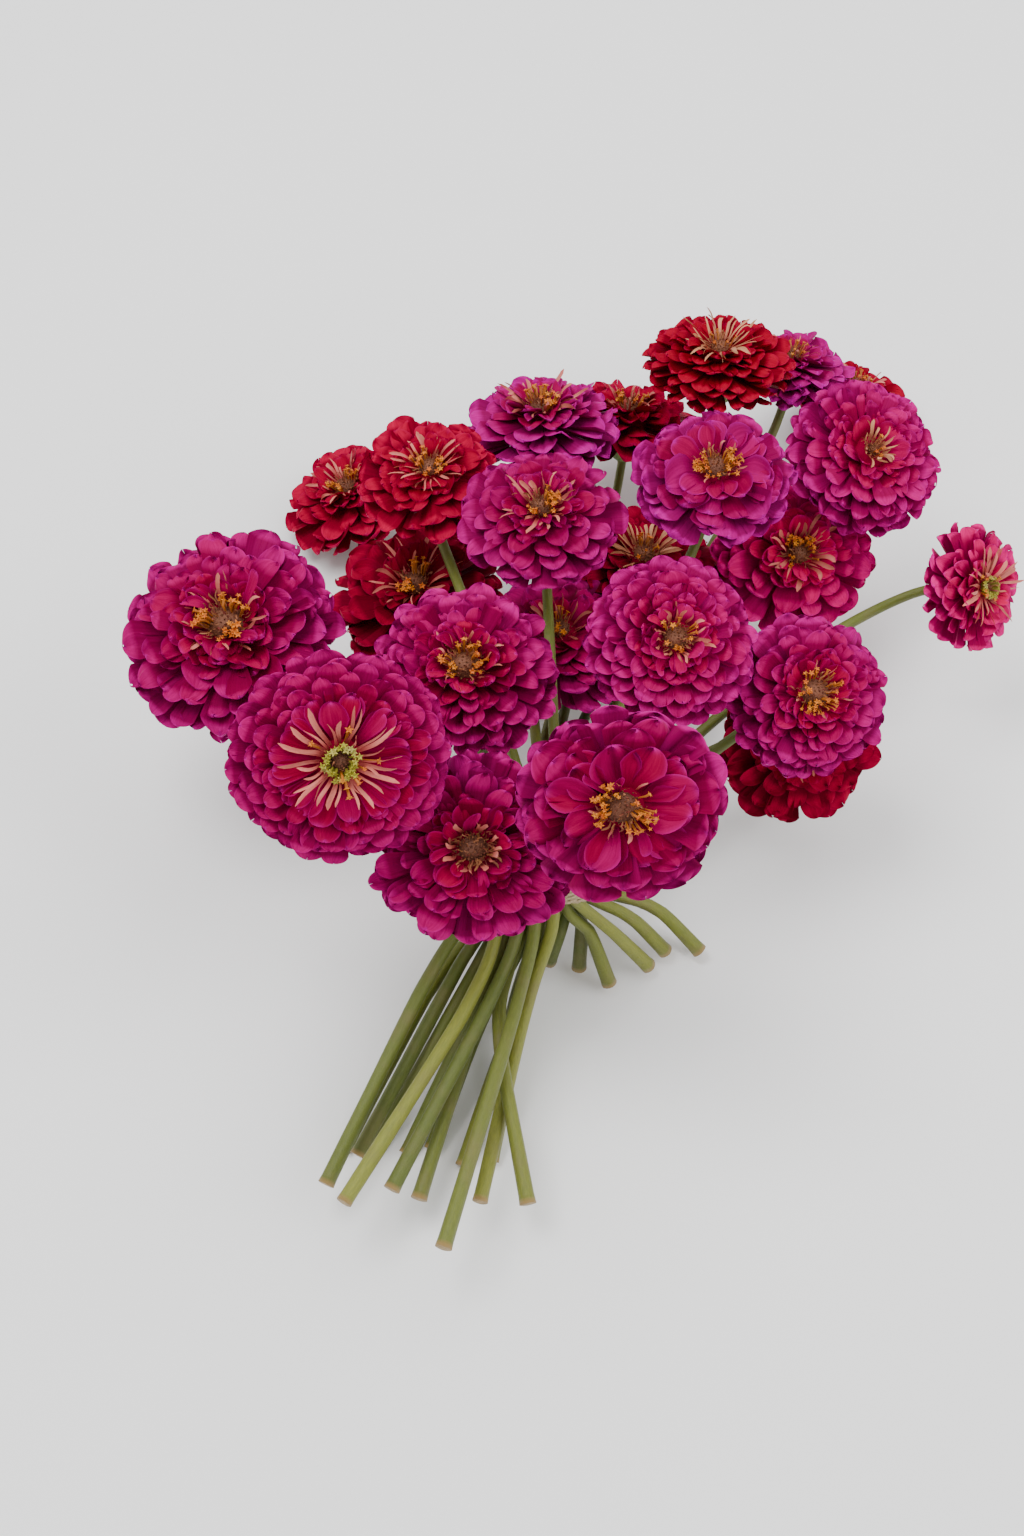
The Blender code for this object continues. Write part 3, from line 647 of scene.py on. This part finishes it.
PETALS = {name: petal_material(name) for name in PETAL_COLOURS}
QUILLS = quill_material("quills", (0.58, 0.17, 0.13), (0.36, 0.02, 0.03))
QUILLS_PALE = quill_material("quills_pale", (0.58, 0.28, 0.14), (0.34, 0.08, 0.04))
FLORETS = floret_material("florets", (0.34, 0.10, 0.01),
                          ((0.80, 0.09, 0.0), (0.95, 0.24, 0.0), (0.88, 0.36, 0.0)), (0.72, 0.20, 0.0))
LIMES = floret_material("florets_lime", (0.16, 0.14, 0.01),
                        ((0.42, 0.40, 0.02), (0.55, 0.50, 0.03), (0.70, 0.62, 0.20)), (0.40, 0.34, 0.02))
CONE = cone_material()
STEM = stem_material()
SCALES = scale_material()
TWINE = twine_material()


# Stem lines are read back from the CAD nodes, ring by ring from the calyx down.
def node_points(name):
    mesh = bpy.data.objects[name].data
    co = node_cloud(name)
    key = {}
    index = np.empty(len(co), int)
    points = []
    for i, p in enumerate(np.round(co, 3)):
        t = tuple(p)
        if t not in key:
            key[t] = len(points)
            points.append(co[i])
        index[i] = key[t]
    near = [set() for _ in points]
    for poly in mesh.polygons:
        ids = [index[v] for v in poly.vertices]
        for a, b in zip(ids, ids[1:] + ids[:1]):
            if a != b:
                near[a].add(b)
                near[b].add(a)
    return np.array(points), near


def rings_of(name, top, face, wide):
    points, near = node_points(name)
    off = points - top
    level = [i for i, p in enumerate(off) if abs(p @ face) < 0.5 and np.linalg.norm(p) < wide + 1.0]
    seen = set(level)
    rings = []
    while level:
        rings.append(points[level])
        nxt = []
        for a in level:
            for b in near[a]:
                if b not in seen:
                    seen.add(b)
                    nxt.append(b)
        level = nxt
    return rings


def smooth_line(points, radii, step):
    """Catmull-Rom through the ring centres, sampled about every step."""
    out = []
    rad = []
    p = [2 * points[0] - points[1]] + list(points) + [2 * points[-1] - points[-2]]
    for i in range(1, len(p) - 2):
        n = max(2, int(np.linalg.norm(p[i + 1] - p[i]) / step))
        for t in np.arange(n) / n:
            a = 0.5 * ((2 * p[i]) + (p[i + 1] - p[i - 1]) * t
                       + (2 * p[i - 1] - 5 * p[i] + 4 * p[i + 1] - p[i + 2]) * t**2
                       + (3 * p[i] - p[i - 1] - 3 * p[i + 1] + p[i + 2]) * t**3)
            out.append(a)
            rad.append(radii[i - 1] * (1 - t) + radii[i] * t)
    out.append(points[-1])
    rad.append(radii[-1])
    return np.array(out), np.array(rad)


def tube(soup, points, radii, sides, value, ridge, cut):
    n = len(points)
    step = np.diff(points, axis=0)
    step /= np.linalg.norm(step, axis=1)[:, None] + 1e-9
    tangent = np.array([step[0]] + [unit(step[k - 1] + step[k]) for k in range(1, n - 1)] + [step[-1]])
    side = unit(np.cross(tangent[0], (0.31, 0.17, 0.93)))
    a = np.arange(sides) * 2 * math.pi / sides
    grid = np.empty((n, sides, 3))
    length = np.concatenate([[0], np.cumsum(np.linalg.norm(np.diff(points, axis=0), axis=1))])
    for k in range(n):
        side = unit(side - (side @ tangent[k]) * tangent[k])
        other = np.cross(tangent[k], side)
        r = radii[k] * (1 + ridge * np.cos(a * 5))
        grid[k] = points[k] + (np.cos(a) * r)[:, None] * side + (np.sin(a) * r)[:, None] * other
    keys = np.empty((n, sides, 4))
    keys[..., 0] = (length / 100.0)[:, None]
    keys[..., 1] = np.abs(a / math.pi - 1)[None, :]
    keys[..., 2] = value
    keys[..., 3] = cut[:, None]
    soup.grid(grid, keys, closed=True)
    return length


def stem_piece(number):
    centre, radius, lean, heading = BLOOMS[number][:4]
    face = facing(lean, heading)
    neck = np.array(centre, float) - SHIFT - face * (NECK_DEPTH * radius + 0.3)
    name = f"stem_{number:02d}"
    wide = CALYX_WIDTH * radius
    rings = rings_of(name, neck, face, wide)
    centres = [r.mean(0) for r in rings if len(r) >= 5]
    radii = [np.linalg.norm(r - r.mean(0), axis=1).mean() for r in rings if len(r) >= 5]
    centres = np.array(centres[3:])[::-1]
    radii = np.array(radii[3:])[::-1] * 0.97
    base = centres[-1]
    rng = np.random.default_rng(900 + number)
    points, rad = smooth_line(centres, radii, 3.0)
    length = np.concatenate([[0], np.cumsum(np.linalg.norm(np.diff(points, axis=0), axis=1))])
    rad = rad * (1 + 0.035 * np.sin(length * 0.09 + rng.uniform(0, 6)))
    rad = rad * (1 + 0.08 * np.exp(-length / 1.5))
    cut = np.exp(-length / 1.1)
    soup = Soup()
    direction = unit(points[0] - points[1])
    end = [(0.02, 0.25), (0.55, 0.28), (0.90, 0.12)]
    first = np.array([points[0] - direction * b for a, b in end])
    pts = np.concatenate([first, points])
    rads = np.concatenate([[rad[0] * a for a, b in end], rad])
    cuts = np.concatenate([[1.0, 0.9, 0.9], cut])
    neck_points = [base + face * h for h in (2.0, 4.5, 7.5, 9.8, 10.9, 10.95)]
    pts = np.concatenate([pts, neck_points])
    rads = np.concatenate([rads, [2.6, wide * 0.55, wide * 0.86, wide * 0.95, wide * 0.93, 0.05]])
    cuts = np.concatenate([cuts, np.zeros(6)])
    tube(soup, pts, rads, 15, rng.uniform(0, 1), 0.025, cuts)
    piece = soup.build(f"stem_look_{number:02d}", STEM, np.zeros(3), np.eye(3), 1.0)
    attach(piece, "root")
    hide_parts(name)
    return face, base, wide


def calyx_piece(number, face, base, wide):
    rng = np.random.default_rng(1300 + number)
    soup = Soup()
    for row, (r0, z0, r1, z1, half, n) in enumerate((
            (0.50, 2.6, 0.86, 6.4, 0.24, 10), (0.74, 4.4, 1.0, 8.8, 0.26, 12), (0.90, 6.6, 1.05, 10.7, 0.27, 13))):
        for k in range(n):
            phi = 2 * math.pi * (k + 0.5 * row + rng.uniform(-0.1, 0.1)) / n
            s, v = np.meshgrid(np.linspace(0, 1, 5), np.linspace(-1, 1, 5), indexing="ij")
            h = half * wide * np.sqrt(np.maximum(0, 1 - s**3)) + 0.05
            ang = phi + h * v / (wide * (r0 + (r1 - r0) * s))
            rad = wide * (r0 + (r1 - r0) * s**0.8) + 0.35 - 0.25 * v**2
            pts = np.stack([rad * np.cos(ang), rad * np.sin(ang), z0 + (z1 - z0) * s + 0 * v], 2)
            keys = np.stack([s, v * 0.5 + 0.5, np.full_like(s, rng.uniform(0, 1)), 0 * s], 2)
            soup.grid(pts, keys)
    piece = soup.build(f"calyx_{number:02d}", SCALES, base, frame_of(face), 1.0)
    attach(piece, "root")


# The low blooms open wider than their solids, so that they fill in under the others.
SPREAD = {8: 1.06, 11: 1.06, 12: 1.03, 14: 1.1, 18: 1.08, 20: 1.18, 21: 1.18, 22: 1.2, 23: 1.2}
HAS_HEART = (1, 2, 3, 4, 5, 6, 7, 9, 10, 11, 12, 16, 17)


def bloom_pieces(number):
    centre, radius, lean, heading, colour, style, squash = BLOOMS[number]
    face = facing(lean, heading)
    across = unit(np.cross((0, 0, 1), face))
    radius *= SPREAD.get(number, 1.0)
    upward = np.cross(face, across)
    axes = np.array([across, upward * squash, face])
    origin = np.array(centre, float) - SHIFT
    tag = f"{number:02d}"
    petals = petals_of(number, style).build(f"petals_{tag}", PETALS[colour], origin, axes, radius)
    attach(petals, "root")
    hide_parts(f"bloom_{tag}")
    quills, florets, limes, cone = hearts_of(number, style)
    pale = style in ("olive", "cream")
    made = [cone.build(f"cone_{tag}", CONE, origin, axes, radius)]
    if quills.count:
        made.append(quills.build(f"quills_{tag}", QUILLS_PALE if pale else QUILLS, origin, axes, radius))
    if florets.count:
        made.append(florets.build(f"florets_{tag}", FLORETS, origin, axes, radius))
    if limes.count:
        made.append(limes.build(f"limes_{tag}", LIMES, origin, axes, radius))
    for piece in made:
        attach(piece, "root")
    if number in HAS_HEART:
        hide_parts(f"heart_{tag}")
    return petals


TIE_AXIS = unit((0.15, 0.52, 0.84))
TIE_BORE = 20.1
TWINE_WIDTH = 2.6


def tie_piece():
    axes = frame_of(TIE_AXIS)
    soup = Soup()
    turns = 3
    steps = 72 * turns
    t = np.linspace(0, 1, steps)
    a = t * turns * 2 * math.pi
    z = (t - 0.5) * (turns - 1) * TWINE_WIDTH
    for strand in range(2):
        twist = a * 16 + strand * math.pi
        r = TIE_BORE + TWINE_WIDTH * 0.55 + 0.62 * np.cos(twist)
        zz = z + 0.62 * np.sin(twist)
        pts = np.stack([r * np.cos(a), r * np.sin(a), zz], 1)
        tube(soup, pts, np.full(steps, 0.72), 7, 0.5, 0.0, np.zeros(steps))
    piece = soup.build("twine_tie", TWINE, TIE_CENTRE - SHIFT, axes, 1.0)
    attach(piece, "root")
    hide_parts("tie")


for number in BLOOMS:
    bloom_pieces(number)
    calyx_piece(number, *stem_piece(number))
tie_piece()


# Floor, light and camera
def floor_material():
    mat, tree, shader = nodes_of("floor")
    fine = noise(tree, object_place(tree), 6.0, 2.0)
    face = ramp(tree, fine, ((0.0, (0.90, 0.90, 0.90)), (1.0, (0.94, 0.94, 0.94))))
    tree.links.new(face, shader.inputs["Base Color"])
    shader.inputs["Roughness"].default_value = 0.9
    return mat


mesh = bpy.data.meshes.new("floor")
mesh.from_pydata([(-6, -6, 0), (6, -6, 0), (6, 6, 0), (-6, 6, 0)], [], [(0, 1, 2, 3)])
floor = bpy.data.objects.new("floor", mesh)
floor.data.materials.append(floor_material())
bpy.context.scene.collection.objects.link(floor)


def area(name, place, target, size, power, colour=(1, 1, 1)):
    light = bpy.data.lights.new(name, "AREA")
    light.size = size
    light.energy = power
    light.color = colour
    obj = bpy.data.objects.new(name, light)
    obj.location = place
    obj.rotation_euler = (Vector(target) - Vector(place)).to_track_quat("-Z", "Y").to_euler()
    bpy.context.scene.collection.objects.link(obj)


area("key", (-0.6, 0.0, 1.8), (0, 0, 0.05), 0.9, 24)
area("fill", (1.3, -0.5, 1.3), (0.05, 0, 0.05), 1.2, 16)
area("top", (0.3, 1.0, 1.6), (0, 0, 0.05), 1.2, 12)
world = bpy.data.worlds.new("soft")
world.use_nodes = True
world.node_tree.nodes["Background"].inputs[0].default_value = (1, 1, 1, 1)
world.node_tree.nodes["Background"].inputs[1].default_value = 0.95
bpy.context.scene.world = world

ELEVATION = math.radians(55)
camera = bpy.data.cameras.new("camera")
camera.lens = 60.1
camera.sensor_width = 36.0
camera.clip_end = 20.0
eye = bpy.data.objects.new("camera", camera)
target = np.array([0.0, 0.0, 80.0]) - SHIFT
look = np.array([0.0, math.cos(ELEVATION), -math.sin(ELEVATION)])
eye.location = (target * MM) - look * 1.0
eye.rotation_euler = (math.radians(90) - ELEVATION, 0.0, 0.0)
bpy.context.scene.collection.objects.link(eye)
bpy.context.scene.camera = eye
